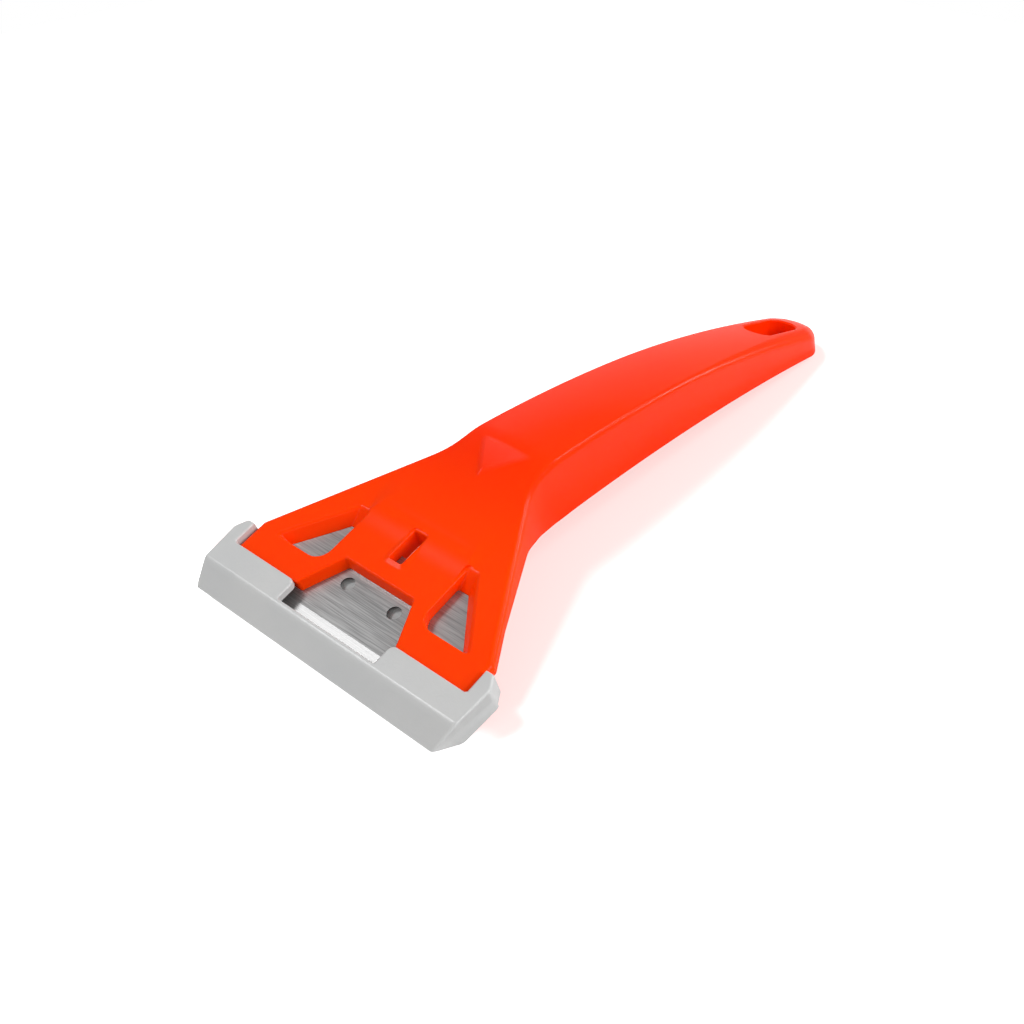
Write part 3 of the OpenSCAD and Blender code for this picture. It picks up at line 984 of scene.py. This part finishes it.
def orange_plastic():
    """Slightly translucent orange, with painted light: the head plate is painted lighter and more
    yellow than the handle, and the arrow's top carries a painted sheen.
    """
    material, tree, shader = new_material("orange_plastic", ORANGE_BODY)
    drift = spread(tree, noise(tree, *ORANGE_DRIFT), 0.0, 1.0)
    head_painted_lighter = tint(tree, drift, *ORANGE_HEAD_PAINTED_LIGHTER)
    handle_painted_deeper = tint(tree, drift, *ORANGE_HANDLE_PAINTED_DEEPER)
    # Painted light: this rises from the head to the bend, so the head is painted lighter than the
    # handle
    depth = rise_along_y(tree, place(0, WIN_BACK, 0).y, place(0, BEND_Y, 0).y)
    body = mix_colours(tree, depth, head_painted_lighter, handle_painted_deeper)
    # Painted sheen: the arrow's top is mixed towards a lighter, pinker orange by its mask
    sheen_mask = tree.nodes.new("ShaderNodeAttribute")
    sheen_mask.attribute_name = ARROW_SHEEN_ATTRIBUTE
    sheen_colour = tint(tree, drift, *ORANGE_PAINTED_SHEEN)
    rough = spread(tree, noise(tree, *ORANGE_ROUGH_NOISE), *ORANGE_ROUGH)
    tree.links.new(mix_colours(tree, sheen_mask.outputs["Fac"], body, sheen_colour), shader.inputs["Base Color"])
    tree.links.new(rough, shader.inputs["Roughness"])
    add_bump(tree, shader, noise(tree, *ORANGE_GRAIN), *ORANGE_BUMP)
    return material


def satin_plastic():
    """Pale grey plastic with a fine grain."""
    material, tree, shader = new_material("satin_plastic", SATIN_BODY)
    drift = spread(tree, noise(tree, *SATIN_DRIFT), 0.0, 1.0)
    rough = spread(tree, noise(tree, *SATIN_ROUGH_NOISE), *SATIN_ROUGH)
    tree.links.new(tint(tree, drift, *SATIN_COLOURS), shader.inputs["Base Color"])
    tree.links.new(rough, shader.inputs["Roughness"])
    add_bump(tree, shader, noise(tree, *SATIN_GRAIN), *SATIN_BUMP)
    return material


def steel(name, dark, light, rough_low, rough_high, streak_scale):
    """Steel with fine streaks along the blade's length, between two greys."""
    material, tree, shader = new_material(name, {"Metallic": METAL_SHARE})
    streaks = noise(tree, streak_scale, STREAK_DETAIL, STREAK_STRETCH)
    grey = tint(tree, spread(tree, streaks, 0.0, 1.0), (dark, dark, dark), (light, light, light))
    tree.links.new(grey, shader.inputs["Base Color"])
    tree.links.new(spread(tree, streaks, rough_low, rough_high), shader.inputs["Roughness"])
    add_bump(tree, shader, streaks, *STREAK_BUMP)
    return material


# Stage, light and camera

def for_camera(tree, otherwise, seen):
    """Value that is seen for rays straight from the camera and otherwise for all others."""
    path = tree.nodes.new("ShaderNodeLightPath")
    choice = tree.nodes.new("ShaderNodeMapRange")
    choice.inputs["To Min"].default_value = otherwise
    choice.inputs["To Max"].default_value = seen
    tree.links.new(path.outputs["Is Camera Ray"], choice.inputs["Value"])
    return choice.outputs["Result"]


def build_floor():
    """Table top that falls away in front of the toe, so that what slides out stays above it."""
    data = bpy.data.meshes.new("floor")
    toe = place(0, -GUARD_D, GUARD_LOW).y
    fall_end = toe - FLOOR_FALL_L
    fall = FLOOR_FALL_L * math.tan(TILT + FLOOR_FALL_MARGIN)
    profile = [(FLOOR_SIZE, 0.0), (toe, 0.0), (fall_end, -fall), (-FLOOR_SIZE, -fall)]
    corners = [(side * FLOOR_SIZE, y, z) for y, z in profile for side in (-1, 1)]
    faces = [(i, i + 2, i + 3, i + 1) for i in range(0, len(corners) - 2, 2)]
    data.from_pydata(corners, [], faces)
    floor = bpy.data.objects.new("floor", data)
    bpy.context.scene.collection.objects.link(floor)
    material, tree, shader = new_material("floor_white", FLOOR_BODY)
    # Painted light: the pink glow paints an orange bounce into the shadow, and the white glow in front
    # of the toe paints the shadow out
    glow = tint(tree, rise_along_y(tree, toe, toe + FLOOR_SHADE_L), FLOOR_GLOW_PAINTS_OUT_SHADOW, FLOOR_GLOW_PAINTED_BOUNCE)
    tree.links.new(glow, shader.inputs["Emission Color"])
    tree.links.new(for_camera(tree, 0.0, 1.0), shader.inputs["Emission Strength"])
    data.materials.append(material)
    return floor


def build_world():
    """Dim white room that the camera sees as plain white."""
    world = bpy.data.worlds.new("studio")
    bpy.context.scene.world = world
    world.use_nodes = True
    tree = world.node_tree
    back = tree.nodes["Background"]
    back.inputs["Color"].default_value = (1, 1, 1, 1)
    tree.links.new(for_camera(tree, ROOM_LIGHT, 1.0), back.inputs["Strength"])


def soft_light(name, at, size, power):
    """Square area light that faces the middle of the object."""
    data = bpy.data.lights.new(name, "AREA")
    data.shape = "SQUARE"
    data.size = size
    data.energy = power
    lamp = bpy.data.objects.new(name, data)
    bpy.context.scene.collection.objects.link(lamp)
    lamp.location = at
    lamp.rotation_euler = (Vector(at) - Vector(LAMP_AIM)).to_track_quat("Z", "Y").to_euler()
    return lamp


def floor_light(floor, at, size, power):
    """Lamp that lights the floor alone, so that the object's shadow shows on it."""
    lit = bpy.data.collections.new("lit_by_floor_lamp")
    lit.objects.link(floor)
    soft_light("floor_lamp", at, size, power).light_linking.receiver_collection = lit


def build_camera():
    """Camera at the photograph's place, from its angles in the head's frame."""
    away = Vector((
        math.cos(CAMERA_ELEVATION) * math.sin(CAMERA_AZIMUTH),
        -math.cos(CAMERA_ELEVATION) * math.cos(CAMERA_AZIMUTH),
        math.sin(CAMERA_ELEVATION),
    ))
    level_right = Vector((0, 0, 1)).cross(away).normalized()
    level_up = away.cross(level_right)
    right = level_right * math.cos(CAMERA_ROLL) + level_up * math.sin(CAMERA_ROLL)
    up = away.cross(right)
    pose = (turn() @ Matrix((right, up, away)).transposed()).to_4x4()
    pose.translation = place(*CAMERA_AT)
    data = bpy.data.cameras.new("camera")
    data.sensor_width = SENSOR_MM
    data.sensor_height = SENSOR_MM
    data.lens = CAMERA_FOCAL_PX / PHOTO_PX * SENSOR_MM
    data.clip_start = CLIP_START
    camera = bpy.data.objects.new("camera", data)
    bpy.context.scene.collection.objects.link(camera)
    camera.matrix_world = pose
    bpy.context.scene.camera = camera


bpy.context.scene.view_settings.view_transform = "Standard"
build_handle()
build_blade()
build_guard()
floor = build_floor()
build_world()
for lamp_name, (lamp_at, lamp_size, lamp_power) in LAMPS.items():
    soft_light(lamp_name, lamp_at, lamp_size, lamp_power)
floor_light(floor, *FLOOR_LAMP)
build_camera()
